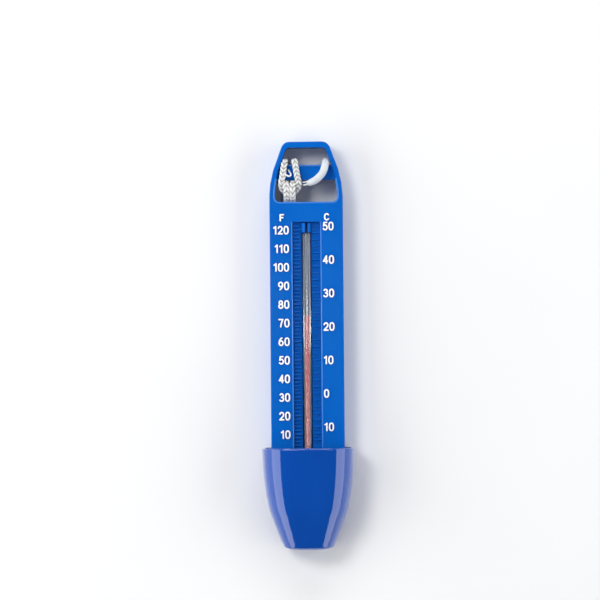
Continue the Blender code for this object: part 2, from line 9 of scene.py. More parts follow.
import bmesh
import bpy
import numpy as np
from mathutils import Euler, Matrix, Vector


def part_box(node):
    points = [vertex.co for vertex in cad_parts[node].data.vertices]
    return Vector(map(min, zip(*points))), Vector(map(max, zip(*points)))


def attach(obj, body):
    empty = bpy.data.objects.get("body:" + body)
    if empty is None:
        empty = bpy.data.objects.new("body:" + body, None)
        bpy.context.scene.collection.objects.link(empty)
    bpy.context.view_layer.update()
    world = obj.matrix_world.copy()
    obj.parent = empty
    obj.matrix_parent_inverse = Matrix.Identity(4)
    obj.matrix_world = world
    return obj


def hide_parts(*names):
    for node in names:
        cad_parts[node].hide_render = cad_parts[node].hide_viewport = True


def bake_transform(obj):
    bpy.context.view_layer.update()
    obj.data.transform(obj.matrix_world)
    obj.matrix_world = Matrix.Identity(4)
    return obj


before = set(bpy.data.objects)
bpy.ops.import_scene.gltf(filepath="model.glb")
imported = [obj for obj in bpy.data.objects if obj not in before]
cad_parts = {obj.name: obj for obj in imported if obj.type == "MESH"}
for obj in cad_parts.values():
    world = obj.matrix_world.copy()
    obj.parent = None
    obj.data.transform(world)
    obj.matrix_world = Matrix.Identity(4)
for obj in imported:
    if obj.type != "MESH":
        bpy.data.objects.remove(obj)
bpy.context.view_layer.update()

BODY = "thermometer"
MENISCUS = "meniscus"
MM = 0.001

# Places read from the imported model
CUP_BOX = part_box("scoop_cup")
GLASS_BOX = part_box("glass_tube")
COLUMN_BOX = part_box("spirit_column")
MENISCUS_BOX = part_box("spirit_meniscus")
ENAMEL_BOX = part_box("enamel_backing")
TIE_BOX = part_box("hank_tie")
TUBE_AXIS_Z = (COLUMN_BOX[0].z + COLUMN_BOX[1].z) / 2
BOTTOM_Y = CUP_BOX[0].y
READING_Y = MENISCUS_BOX[1].y

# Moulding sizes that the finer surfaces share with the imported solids
FACE_Z = 12.0 * MM
CHANNEL_FLOOR_Z = 10.2 * MM
BAR_FRONT_Z = 10.0 * MM

# Finer edges that only the visual has
MOULD_EDGE = 0.35 * MM
LIP_RADIUS = 0.42 * MM
LINE_RADIUS = 0.3 * MM

# Scale: places of the temperature marks along Y
F_TOP = 120
F_TOP_Y = 50.4 * MM
F_STEP_Y = 0.8105 * MM
C_STEP_Y = F_STEP_Y * 1.8
C_TOP = 50
C_TOP_Y = F_TOP_Y + (122 - F_TOP) * F_STEP_Y

# Cord
CORD_DIAMETER = 2.7 * MM
BRAID_COLUMNS = 4
YARN_PITCH = 1.8 * MM
YARN_SLANT = 0.95
BRAID_RELIEF = 0.34
TAIL_RELIEF = 0.06
CROWN_LAYER = "crown"
HITCH_RADIUS = 1.55 * MM
TAIL_RADIUS = 1.62 * MM


# ---------------------------------------------------------------- materials

def new_material(name):
    material = bpy.data.materials.new(name)
    material.use_nodes = True
    tree = material.node_tree
    return material, tree, tree.nodes["Principled BSDF"]


def node(tree, kind, **settings):
    made = tree.nodes.new(kind)
    for key, value in settings.items():
        if key in made.inputs:
            made.inputs[key].default_value = value
        else:
            setattr(made, key, value)
    return made


def object_noise(tree, scale, detail=4.0, roughness=0.55, stretch=(1.0, 1.0, 1.0)):
    """Noise in the object's own coordinates; scale is in features per metre."""
    place = node(tree, "ShaderNodeTexCoord")
    mapping = node(tree, "ShaderNodeMapping")
    mapping.inputs["Scale"].default_value = stretch
    noise = node(tree, "ShaderNodeTexNoise")
    noise.inputs["Scale"].default_value = scale
    noise.inputs["Detail"].default_value = detail
    noise.inputs["Roughness"].default_value = roughness
    tree.links.new(place.outputs["Object"], mapping.inputs["Vector"])
    tree.links.new(mapping.outputs["Vector"], noise.inputs["Vector"])
    return noise


def ramp(tree, source, stops):
    """Colour ramp over (position, colour) stops; a plain number stands for a grey."""
    made = node(tree, "ShaderNodeValToRGB")
    elements = made.color_ramp.elements
    while len(elements) < len(stops):
        elements.new(0.5)
    for element, (position, colour) in zip(elements, stops):
        element.position = position
        element.color = (colour, colour, colour, 1.0) if isinstance(colour, float) else (*colour, 1.0)
    tree.links.new(source, made.inputs["Fac"])
    return made.outputs["Color"]


def settle(shader, values):
    """Set the shader's own sockets, by name, to values that hold all over the surface."""
    for socket, value in values.items():
        shader.inputs[socket].default_value = value


def vary(tree, shader, socket, noise, stops):
    """Let a noise set one socket of the shader through a ramp."""
    tree.links.new(ramp(tree, noise.outputs["Fac"], stops), shader.inputs[socket])


def bumps(tree, shader, layers):
    """Chain of bump nodes over (noise, strength, distance) layers."""
    normal = None
    for noise, strength, distance in layers:
        bump = node(tree, "ShaderNodeBump")
        bump.inputs["Strength"].default_value = strength
        bump.inputs["Distance"].default_value = distance
        tree.links.new(noise.outputs["Fac"], bump.inputs["Height"])
        if normal is not None:
            tree.links.new(normal, bump.inputs["Normal"])
        normal = bump.outputs["Normal"]
    tree.links.new(normal, shader.inputs["Normal"])


def blue_plastic(name, dark, light, rough_low, rough_high, scuffs, gloss):
    """Injection-moulded polypropylene: faint flow marks, fine texture and light scuffs."""
    material, tree, shader = new_material(name)
    cloud = object_noise(tree, 55.0, detail=3.0, stretch=(1.0, 0.35, 1.0))
    vary(tree, shader, "Base Color", cloud, [(0.3, dark), (0.7, light)])
    patches = object_noise(tree, 260.0, detail=5.0, roughness=0.65)
    vary(tree, shader, "Roughness", patches, [(0.32, rough_low), (0.68, rough_high)])
    grain = object_noise(tree, 5200.0, detail=2.0)
    flow = object_noise(tree, 90.0, detail=2.0, stretch=(1.0, 0.25, 1.0))
    scratch = object_noise(tree, 900.0, detail=3.0, stretch=(1.0, 0.04, 1.0))
    bumps(tree, shader, [(flow, 0.25, 0.00015), (scratch, scuffs, 0.00002), (grain, 0.12, 0.00001)])
    settle(shader, {"IOR": 1.49, "Specular IOR Level": 0.1, "Coat Weight": gloss, "Coat Roughness": 0.05,
                    "Coat IOR": 1.6, "Subsurface Weight": 0.06,
                    "Subsurface Radius": (0.0002, 0.0006, 0.0012), "Subsurface Scale": 1.0})
    return material


def white_foil():
    """White foil on the raised numerals, worn a little thin in places."""
    material, tree, shader = new_material("white_foil")
    wear = object_noise(tree, 1500.0, detail=6.0, roughness=0.7)
    vary(tree, shader, "Base Color", wear, [(0.24, (0.62, 0.72, 0.85)), (0.36, (0.86, 0.87, 0.88)),
                                            (0.8, (0.93, 0.93, 0.92))])
    grain = object_noise(tree, 4000.0, detail=3.0)
    vary(tree, shader, "Roughness", grain, [(0.3, 0.34), (0.7, 0.5)])
    bumps(tree, shader, [(grain, 0.25, 0.00003)])
    return material


def clear_glass():
    """Drawn glass with faint lengthwise streaks of roughness."""
    material, tree, shader = new_material("tube_glass")
    settle(shader, {"Base Color": (0.97, 0.98, 0.98, 1.0), "Transmission Weight": 1.0, "IOR": 1.47})
    draw_lines = object_noise(tree, 700.0, detail=2.0, stretch=(1.0, 0.004, 1.0))
    vary(tree, shader, "Roughness", draw_lines, [(0.3, 0.015), (0.75, 0.06)])
    return material


def white_enamel():
    """Greyish white strip behind the stem."""
    material, tree, shader = new_material("tube_enamel")
    streaks = object_noise(tree, 250.0, detail=2.0, stretch=(1.0, 0.004, 1.0))
    vary(tree, shader, "Base Color", streaks, [(0.3, (0.42, 0.47, 0.53)), (0.7, (0.5, 0.55, 0.6))])
    vary(tree, shader, "Roughness", streaks, [(0.3, 0.22), (0.7, 0.4)])
    bumps(tree, shader, [(streaks, 0.1, 0.00002)])
    return material


def red_spirit():
    """Dyed spirit, a little see-through."""
    material, tree, shader = new_material("red_spirit")
    depth = object_noise(tree, 220.0, detail=2.0, stretch=(1.0, 0.02, 1.0))
    vary(tree, shader, "Base Color", depth, [(0.3, (0.88, 0.2, 0.23)), (0.7, (0.92, 0.26, 0.29))])
    vary(tree, shader, "Roughness", depth, [(0.3, 0.08), (0.7, 0.16)])
    bumps(tree, shader, [(depth, 0.05, 0.00002)])
    settle(shader, {"Transmission Weight": 0.25})
    return material


def braided_yarn(name, light, dark):
    """White yarn: fine filaments, soft sheen and painted shade between the yarns."""
    material, tree, shader = new_material(name)
    tone = object_noise(tree, 500.0, detail=5.0, roughness=0.7)
    # Painted shade: the plait's stored height darkens the colour in the gaps between yarns
    crown = node(tree, "ShaderNodeAttribute", attribute_name=CROWN_LAYER)
    shade = ramp(tree, crown.outputs["Fac"], [(0.05, 0.16), (0.5, 0.7), (0.85, 1.0)])
    mix = node(tree, "ShaderNodeMix", data_type="RGBA", blend_type="MULTIPLY")
    mix.inputs[0].default_value = 1.0
    tree.links.new(ramp(tree, tone.outputs["Fac"], [(0.25, dark), (0.6, light)]), mix.inputs[6])
    tree.links.new(shade, mix.inputs[7])
    tree.links.new(mix.outputs[2], shader.inputs["Base Color"])
    filaments = object_noise(tree, 3000.0, detail=4.0, roughness=0.7)
    vary(tree, shader, "Roughness", filaments, [(0.3, 0.55), (0.7, 0.85)])
    bumps(tree, shader, [(filaments, 0.5, 0.00006), (tone, 0.2, 0.00005)])
    settle(shader, {"Sheen Weight": 0.25, "Sheen Roughness": 0.4, "Subsurface Weight": 0.15,
                    "Subsurface Radius": (0.0006, 0.0006, 0.0006), "Subsurface Scale": 1.0})
    return material


def tie_covering():
    """White covering of the flat tie, finely ribbed across."""
    material, tree, shader = new_material("tie_film")
    tone = object_noise(tree, 400.0, detail=4.0)
    vary(tree, shader, "Base Color", tone, [(0.3, (0.8, 0.8, 0.78)), (0.7, (0.9, 0.9, 0.88))])
    ribs = object_noise(tree, 1600.0, detail=3.0, stretch=(0.2, 1.0, 0.2))
    vary(tree, shader, "Roughness", ribs, [(0.3, 0.35), (0.7, 0.6)])
    bumps(tree, shader, [(ribs, 0.3, 0.00004)])
    return material


MATERIALS = {
    "body": blue_plastic("body_blue", (0.0, 0.098, 0.44), (0.0, 0.110, 0.49), 0.18, 0.26, 0.05, 0.0),
    # Painted highlight: the lips are the body's plastic in a lighter blue, standing in for the light their
    # rounded edges catch
    "highlit_lips": blue_plastic("lip_blue_painted_highlight", (0.02, 0.17, 0.58), (0.03, 0.19, 0.64), 0.2, 0.28, 0.05, 0.5),
    "cup": blue_plastic("cup_blue", (0.0, 0.054, 0.33), (0.0, 0.063, 0.365), 0.07, 0.12, 0.04, 1.0),
    "white": white_foil(),
    "glass": clear_glass(),
    "enamel": white_enamel(),
    "spirit": red_spirit(),
    "cord": braided_yarn("cord_yarn", (0.76, 0.76, 0.75), (0.62, 0.63, 0.64)),
    # Painted shade: the tail is the same cord, its yarn made greyer and bluer than the rest
    "tail": braided_yarn("tail_yarn_painted_shade", (0.6, 0.64, 0.67), (0.5, 0.54, 0.58)),
    "tie": tie_covering(),
}


# ---------------------------------------------------------------- mesh helpers

def object_from_mesh(name, data, material, smooth_angle=38.0):
    made = bpy.data.objects.new(name, data)
    bpy.context.scene.collection.objects.link(made)
    data.materials.clear()
    data.materials.append(MATERIALS[material])
    if smooth_angle is not None:
        data.shade_smooth()
        data.set_sharp_from_angle(angle=math.radians(smooth_angle))
    return made


def outward_mesh(name, vertices, faces):
    """Mesh with its faces turned outward."""
    data = bpy.data.meshes.new(name)
    data.from_pydata(vertices, [], faces)
    clean = bmesh.new()
    clean.from_mesh(data)
    bmesh.ops.recalc_face_normals(clean, faces=clean.faces)
    clean.to_mesh(data)
    clean.free()
    return data


def side_faces(rings, per_ring):
    """Faces between neighbouring closed rings of points."""
    faces = []
    for ring in range(rings - 1):
        here = ring * per_ring
        for index in range(per_ring):
            after = (index + 1) % per_ring
            faces.append((here + index, here + after, here + per_ring + after, here + per_ring + index))
    return faces


def end_faces(rings, per_ring):
    """Flat caps over the first and the last ring."""
    return [tuple(range(per_ring)), tuple(range(rings * per_ring - per_ring, rings * per_ring))]


def mesh_from_grid(name, points, cap=True):
    """Skin over rings of points, an array of (rings, per ring, 3), with or without end caps."""
    rings, per_ring = points.shape[:2]
    faces = side_faces(rings, per_ring)
    if cap:
        faces += end_faces(rings, per_ring)
    return outward_mesh(name, points.reshape(-1, 3).tolist(), faces)


def evaluated_mesh(source):
    """Mesh of an object with its modifiers applied; the object is removed."""
    bpy.context.view_layer.update()
    data = bpy.data.meshes.new_from_object(source.evaluated_get(bpy.context.evaluated_depsgraph_get()))
    data.transform(source.matrix_world)
    bpy.data.objects.remove(source, do_unlink=True)
    return data


def bevelled_copy(node_name, new_name, material, width, angle):
    """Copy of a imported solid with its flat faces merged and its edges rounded."""
    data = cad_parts[node_name].data.copy()
    clean = bmesh.new()
    clean.from_mesh(data)
    bmesh.ops.remove_doubles(clean, verts=clean.verts, dist=0.002 * MM)
    bmesh.ops.dissolve_limit(clean, angle_limit=math.radians(1.0), verts=clean.verts, edges=clean.edges)
    clean.to_mesh(data)
    clean.free()
    made = bpy.data.objects.new(new_name, data)
    bpy.context.scene.collection.objects.link(made)
    bevel = made.modifiers.new("round_edges", "BEVEL")
    bevel.width = width
    bevel.segments = 3
    bevel.limit_method = "ANGLE"
    bevel.angle_limit = math.radians(angle)
    bevel.use_clamp_overlap = True
    bevel.miter_outer = "MITER_ARC"
    data.shade_smooth()
    flats = made.modifiers.new("flat_faces", "WEIGHTED_NORMAL")
    flats.mode = "FACE_AREA"
    flats.weight = 100
    return object_from_mesh(new_name, evaluated_mesh(made), material, None)


# ---------------------------------------------------------------- scale body

def make_body():
    """The moulding with rounded edges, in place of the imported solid."""
    body = bevelled_copy("scale_body", "body_moulding", "body", MOULD_EDGE, 50.0)
    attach(body, BODY)
    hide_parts("scale_body")


def make_lips():
    """Rounded lips round the lower window and along the crossbar's top edge and the channel's sides; their
    lighter blue is painted highlight.
    """
    right = [(13.05, 72.8), (13.45, 70.6), (13.85, 67.5), (13.95, 65.2), (13.6, 63.5), (12.3, 62.5),
             (10.0, 62.3)]
    left = [(-x, y) for x, y in right]
    window = [(x * MM, y * MM, FACE_Z - 0.17 * MM) for x, y in left + right[::-1]]
    solids = []
    tapered_strand(solids, window, LIP_RADIUS, LIP_RADIUS, 14)
    bar_edge = [(share * 11.6 * MM, 78.5 * MM, BAR_FRONT_Z - 0.15 * MM)
                for share in (-1.0, -0.5, 0.0, 0.5, 1.0)]
    tapered_strand(solids, bar_edge, LIP_RADIUS, LIP_RADIUS, 14)
    for x in (-6.35, 6.35):
        edge = [(x * MM, y * MM, FACE_Z - 0.16 * MM) for y in (-46.5, -20.0, 5.0, 30.0, 54.0)]
        tapered_strand(solids, edge, LINE_RADIUS, LINE_RADIUS, 14)
    highlit_lips = joined_solids("window_lips", solids, "highlit_lips")
    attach(highlit_lips, BODY)


def rib(x_low, x_high, y, width, z_low, z_high):
    """Closed low rib across the channel, with a rounded top: (vertices, faces)."""
    profile = [(-0.5, 0.0), (-0.5, 0.6), (-0.3, 0.92), (0.0, 1.0), (0.3, 0.92), (0.5, 0.6), (0.5, 0.0)]
    vertices = []
    for x, rise in ((x_low, 0.75), (x_low + 0.12 * MM, 1.0), (x_high - 0.12 * MM, 1.0), (x_high, 0.75)):
        for across, up in profile:
            vertices.append((x, y + across * width, z_low + up * rise * (z_high - z_low)))
    return vertices, end_faces(4, len(profile)) + side_faces(4, len(profile))


def joined_solids(name, solids, material):
    """One mesh object from many (vertices, faces) solids."""
    vertices = []
    faces = []
    for solid_vertices, solid_faces in solids:
        start = len(vertices)
        vertices.extend(solid_vertices)
        faces.extend(tuple(index + start for index in face) for face in solid_faces)
    return object_from_mesh(name, outward_mesh(name, vertices, faces), material)


def fahrenheit_y(degrees):
    return F_TOP_Y - (F_TOP - degrees) * F_STEP_Y


def celsius_y(degrees):
    return C_TOP_Y - (C_TOP - degrees) * C_STEP_Y


def make_ticks():
    """Moulded division ribs on the channel's floor, Fahrenheit on the left and Celsius on the right."""
    low_z = CHANNEL_FLOOR_Z - 0.05 * MM
    left = []
    for degrees in range(4, F_TOP + 3, 2):
        tall = degrees % 10 == 0
        left.append(rib(-5.75 * MM, (-2.5 if tall else -2.9) * MM, fahrenheit_y(degrees),
                        0.62 * MM, low_z, CHANNEL_FLOOR_Z + (1.2 if tall else 1.0) * MM))
    right = []
    for degrees in range(-14, C_TOP + 1):
        strong = degrees % 2 == 0
        width = 0.52 * MM if strong else 0.32 * MM
        right.append(rib(2.55 * MM, (5.75 if strong else 4.6) * MM, celsius_y(degrees), width, low_z,
                         CHANNEL_FLOOR_Z + (0.8 if strong else 0.45) * MM))
    for name, solids in (("fahrenheit_ribs", left), ("celsius_ribs", right)):
        ribs = joined_solids(name, solids, "body")
        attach(ribs, BODY)


# ---------------------------------------------------------------- numerals

GLYPH_HEIGHT = 3.75 * MM
HEADING_HEIGHT = 3.3 * MM
GLYPH_NARROWING = 0.83
GLYPH_GAP = 1.05
STROKE = 0.6 * MM
GLYPH_CELL = 0.11 * MM


def arc(cx, cy, rx, ry, start, end, steps=18, power=2.0):
    """Elliptic or superelliptic arc between two angles in degrees."""
    points = []
    for step in range(steps + 1):
        angle = math.radians(start + (end - start) * step / steps)
        across = math.copysign(abs(math.cos(angle)) ** (2 / power), math.cos(angle))
        up = math.copysign(abs(math.sin(angle)) ** (2 / power), math.sin(angle))
        points.append((cx + rx * across, cy + ry * up))
    return points


def glyph_strokes():
    """Centrelines of each character in a cell 2 wide and 3.1 high, and each one's width."""
    six = [arc(1.0, 0.95, 0.98, 0.95, 0, 360, 28),
           [(0.02, 0.95), (0.1, 1.7), (0.45, 2.45), (1.0, 2.95), (1.35, 3.1)]]
    nine = [[(2.0 - x, 3.1 - y) for x, y in stroke] for stroke in six]
    return {
        "0": ([arc(1.0, 1.55, 1.0, 1.55, 0, 360, 36, 2.5)], 2.0),
        "1": ([[(0.1, 2.5), (0.6, 2.72), (1.0, 3.1), (1.0, 0.0)]], 1.3),
        "2": ([arc(0.98, 2.14, 0.95, 0.96, 165, -38, 20) + [(0.05, 0.0), (2.0, 0.0)]], 2.0),
        "3": ([arc(0.95, 2.34, 0.82, 0.76, 150, -90, 18) + arc(0.95, 0.8, 0.98, 0.8, 90, -150, 20)], 1.95),
        "4": ([[(1.5, 0.0), (1.5, 3.1), (0.0, 0.85), (2.05, 0.85)]], 2.05),
        "5": ([[(1.8, 3.1), (0.45, 3.1), (0.22, 1.62)] + arc(0.95, 1.0, 1.0, 1.0, 135, -150, 20)], 1.95),
        "6": (six, 2.0),
        "7": ([[(0.05, 3.1), (1.95, 3.1), (1.25, 1.7), (0.85, 0.0)]], 2.0),
        "8": ([arc(1.0, 2.36, 0.8, 0.74, 0, 360, 26), arc(1.0, 0.82, 0.98, 0.82, 0, 360, 28)], 2.0),
        "9": (nine, 2.0),
        "F": ([[(1.75, 2.95), (0.2, 2.95), (0.2, 0.0)], [(0.2, 1.5), (1.55, 1.5)]], 1.75),
        "C": ([arc(1.1, 1.5, 1.05, 1.5, 42, 318, 26, 2.2)], 2.0),
    }


# For each pattern of a cell's inside corners, the sides that its outline enters and leaves by
CELL_EDGES = {1: "BL", 2: "RB", 3: "RL", 4: "TR", 5: "BLTR", 6: "TB", 7: "TL", 8: "LT", 9: "BT", 10: "RBLT",
              11: "RT", 12: "LR", 13: "BR", 14: "LB"}


def contours(field, origin, cell):
    """Closed loops where a field crosses zero, by marching squares."""
    inside = field < 0
    index = inside[:-1, :-1] + 2 * inside[1:, :-1] + 4 * inside[1:, 1:] + 8 * inside[:-1, 1:]
    following = {}
    for i, j in np.argwhere((index > 0) & (index < 15)):
        edges = {"B": ("h", i, j), "T": ("h", i, j + 1), "L": ("v", i, j), "R": ("v", i + 1, j)}
        sides = CELL_EDGES[int(index[i, j])]
        for first, second in zip(sides[::2], sides[1::2]):
            following[edges[first]] = edges[second]

    def crossing(edge):
        kind, i, j = edge
        other = (i + 1, j) if kind == "h" else (i, j + 1)
        share = field[i, j] / (field[i, j] - field[other])
        x = i + share * (kind == "h")
        y = j + share * (kind == "v")
        return (origin[0] + x * cell, origin[1] + y * cell)

    loops = []
    while following:
        edge, target = following.popitem()
        loop = [crossing(edge)]
        while target in following:
            loop.append(crossing(target))
            target = following.pop(target)
        loops.append(loop)
    return loops


def thinned(loop, least_turn=4.0, longest=0.6 * MM):
    """Loop without the points that hardly turn."""
    kept = [Vector(loop[0])]
    for here, after in zip(loop[1:], loop[2:] + loop[:1]):
        here = Vector(here)
        ahead = Vector(after) - here
        behind = here - kept[-1]
        if behind.length < 0.02 * MM or ahead.length < 1e-7:
            continue
        if behind.length > longest or behind.angle(ahead) > math.radians(least_turn):
            kept.append(here)
    return kept


def label_field(text, grow, height, narrowing):
    """Distance field of a label's strokes, moved out by half a stroke plus grow."""
    strokes = []
    cursor = 0.0
    glyphs = glyph_strokes()
    unit = (height - STROKE) / 3.1
    for character in text:
        paths, width = glyphs[character]
        for path in paths:
            strokes.append(np.array([((cursor + x) * unit * narrowing, y * unit) for x, y in path]))
        cursor += width + GLYPH_GAP
    width = (cursor - GLYPH_GAP) * unit * narrowing
    margin = STROKE
    xs = np.arange(-margin, width + margin, GLYPH_CELL)
    ys = np.arange(-margin, height - STROKE + margin, GLYPH_CELL)
    grid = np.stack(np.meshgrid(xs, ys, indexing="ij"), axis=-1)
    distance = np.full(grid.shape[:2], 1.0)
    for stroke in strokes:
        for start, end in zip(stroke, stroke[1:]):
            along = end - start
            share = np.clip(((grid - start) @ along) / max(along @ along, 1e-16), 0.0, 1.0)
            nearest = start + share[..., None] * along
            distance = np.minimum(distance, np.linalg.norm(grid - nearest, axis=-1))
    return distance - STROKE / 2 - grow, (-margin, -margin), width


def label_solid(name, text, x, y, right_aligned, height, grow, z_low, z_high, edge):
    """Raised label as a bevelled plate; y is the middle of its height."""
    narrowing = 1.0 if height == HEADING_HEIGHT else GLYPH_NARROWING
    field, origin, width = label_field(text, grow, height, narrowing)
    left = x - width - STROKE / 2 if right_aligned else x + STROKE / 2
    curve = bpy.data.curves.new(name, "CURVE")
    curve.dimensions = "2D"
    curve.fill_mode = "BOTH"
    curve.extrude = (z_high - z_low) / 2 - edge
    curve.bevel_depth = edge
    curve.bevel_resolution = 1
    curve.offset = -edge
    for loop in contours(field, origin, GLYPH_CELL):
        points = thinned(loop)
        spline = curve.splines.new("POLY")
        spline.points.add(len(points) - 1)
        for point, place in zip(spline.points, points):
            point.co = (place.x, place.y, 0.0, 1.0)
        spline.use_cyclic_u = True
    made = bpy.data.objects.new(name, curve)
    bpy.context.scene.collection.objects.link(made)
    made.location = (left, y - (height - STROKE) / 2, (z_low + z_high) / 2)
    data = evaluated_mesh(made)
    clean = bmesh.new()
    clean.from_mesh(data)
    bmesh.ops.remove_doubles(clean, verts=clean.verts, dist=0.001 * MM)
    vertices = [tuple(vertex.co) for vertex in clean.verts]
    faces = [tuple(vertex.index for vertex in face.verts) for face in clean.faces]
    clean.free()
    return vertices, faces


def make_numerals():
    """Both scales' labels and headings: blue raised plinths with white foil on top."""
    tall = GLYPH_HEIGHT
    labels = [("F", -9.65 * MM, 55.9 * MM, True, HEADING_HEIGHT),
              ("C", 7.7 * MM, 56.1 * MM, False, HEADING_HEIGHT)]
    for degrees in range(F_TOP, 0, -10):
        labels.append((str(degrees), -7.65 * MM, fahrenheit_y(degrees), True, tall))
    for degrees in range(C_TOP, -20, -10):
        labels.append((str(abs(degrees)), 7.1 * MM, celsius_y(degrees), False, tall))
    plinths = []
    foils = []
    for index, (text, x, y, right_aligned, height) in enumerate(labels):
        plinths.append(label_solid(f"plinth_{index}", text, x, y, right_aligned, height, 0.06 * MM,
                                   FACE_Z - 0.1 * MM, FACE_Z + 0.45 * MM, 0.08 * MM))
        foils.append(label_solid(f"foil_{index}", text, x, y, right_aligned, height, 0.02 * MM,
                                 FACE_Z + 0.4 * MM, FACE_Z + 0.52 * MM, 0.04 * MM))
    for name, solids, material, slot in (("numeral_plinths", plinths, "body", "blue_body"),
                                         ("numeral_foil", foils, "white", "enamel")):
        made = joined_solids(name, solids, material)
        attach(made, BODY)


# ---------------------------------------------------------------- scoop cup

# The cup's outline: (height above its bottom, half width) in mm
CUP_STATIONS = ((0.0, 9.7), (0.7, 10.7), (2.4, 11.7), (6.0, 13.2), (9.5, 14.6), (13.0, 15.9), (16.4, 17.1),
                (21.7, 18.3), (30.0, 19.5), (44.1, 20.4))
CUP_HEIGHT = 44.1 * MM
CUP_WALL = 1.7 * MM
CUP_FLOOR = 1.9 * MM
CUP_CORNER = 4.0 * MM
CUP_ROUNDNESS = 3.2
CUP_RIM_RISE = 1.0 * MM
CUP_DEPTH_PER_HALF_WIDTH = 1.05
CUP_SECTION_STEPS = 44


def cup_half_width(height):
    """Smooth half width of the cup's outline at a height above its bottom."""
    heights = np.array([station[0] for station in CUP_STATIONS]) * MM
    halves = np.array([station[1] for station in CUP_STATIONS]) * MM
    slopes = np.gradient(halves, heights)
    place = min(max(int(np.searchsorted(heights, height)) - 1, 0), len(heights) - 2)
    span = heights[place + 1] - heights[place]
    t = (height - heights[place]) / span
    return float((2 * t ** 3 - 3 * t ** 2 + 1) * halves[place]
                 + (t ** 3 - 2 * t ** 2 + t) * span * slopes[place]
                 + (3 * t ** 2 - 2 * t ** 3) * halves[place + 1]
                 + (t ** 3 - t ** 2) * span * slopes[place + 1])


def cup_section(height, wall):
    """D-shaped ring of the cup: flat back on the surface, rounded front that rises a little to the rim."""
    half = cup_half_width(height)
    rim_half = CUP_STATIONS[-1][1] * MM
    depth = CUP_BOX[1].z - CUP_DEPTH_PER_HALF_WIDTH * (rim_half - half)
    half -= wall
    top = depth - wall
    bottom = max(wall, 0.8 * MM - 0.5 * height)
    corner = max(0.6 * MM, CUP_CORNER - wall)
    right = []
    for step in range(9):
        angle = math.pi / 2 * step / 8
        right.append((half - corner + corner * math.sin(angle), bottom + corner - corner * math.cos(angle)))
    for step in range(1, CUP_SECTION_STEPS):
        angle = math.pi / 2 * step / CUP_SECTION_STEPS
        across = math.cos(angle) ** (2 / CUP_ROUNDNESS)
        up = math.sin(angle) ** (2 / CUP_ROUNDNESS)
        right.append((half * across, bottom + corner + (top - bottom - corner) * up))
    ring = right + [(0.0, top)] + [(-x, z) for x, z in reversed(right)]
    rise = CUP_RIM_RISE * (height / CUP_HEIGHT) ** 4
    return [(x, BOTTOM_Y + height + rise * (z / CUP_BOX[1].z) ** 2, z) for x, z in ring]


def make_cup():
    """Smooth cup with a rounded rim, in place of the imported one."""
    rings = []
    base_round = 1.3 * MM
    rim_round = CUP_WALL / 2
    rim_start = CUP_HEIGHT - 0.6 * MM
    floor_round = 2.0 * MM
    for step in range(7):
        angle = math.pi / 2 * step / 6
        shrink = base_round * (1 - math.sin(angle))
        rings.append(cup_section(base_round * (1 - math.cos(angle)), shrink))
    rings += [cup_section(height, 0.0) for height in np.linspace(1.4 * MM, rim_start, 46)]
    for step in range(1, 9):
        angle = math.pi * step / 9
        wall = rim_round * (1 - math.cos(angle))
        rings.append(cup_section(rim_start + 0.6 * MM * math.sin(angle), wall))
    rings += [cup_section(height, CUP_WALL)
              for height in np.linspace(CUP_HEIGHT - 0.7 * MM, CUP_FLOOR + floor_round, 30)]
    for step in range(1, 5):
        angle = math.pi / 2 * step / 4
        wall = CUP_WALL + 1.6 * MM * (1 - math.cos(angle))
        rings.append(cup_section(CUP_FLOOR + floor_round * (1 - math.sin(angle)), wall))
    data = mesh_from_grid("scoop_cup_shell", np.array(rings))
    cup = object_from_mesh("scoop_cup_shell", data, "cup", 50.0)
    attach(cup, BODY)
    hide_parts("scoop_cup")


# ---------------------------------------------------------------- glass tube and spirit

STEM_RADIUS = 1.65 * MM
BORE_RADIUS = 0.62 * MM
SPIRIT_RADIUS = 0.64 * MM
BULB_RADIUS = 2.6 * MM
BULB_WALL = 0.5 * MM


def turned_solid(name, profile, material, around=48):
    """Closed solid turned about the tube's axis; profile points are (radius, y)."""
    rings = []
    turns = [2 * math.pi * step / around for step in range(around)]
    for radius, y in profile:
        radius = max(radius, 0.004 * MM)
        rings.append([(radius * math.sin(turn), y, TUBE_AXIS_Z + radius * math.cos(turn)) for turn in turns])
    return object_from_mesh(name, mesh_from_grid(name, np.array(rings)), material, 60.0)


def dome(radius_start, y_start, y_end, steps=10):
    """Profile from a wall to the axis, rounded like a quarter ellipse."""
    points = []
    for step in range(1, steps + 1):
        angle = math.pi / 2 * step / steps
        points.append((radius_start * math.cos(angle), y_start + (y_end - y_start) * math.sin(angle)))
    return points


def neck(radius_low, y_low, radius_high, y_high, steps=8):
    """Smooth change of radius along the tube."""
    points = []
    for step in range(steps + 1):
        share = step / steps
        ease = share * share * (3 - 2 * share)
        points.append((radius_low + (radius_high - radius_low) * ease, y_low + (y_high - y_low) * share))
    return points


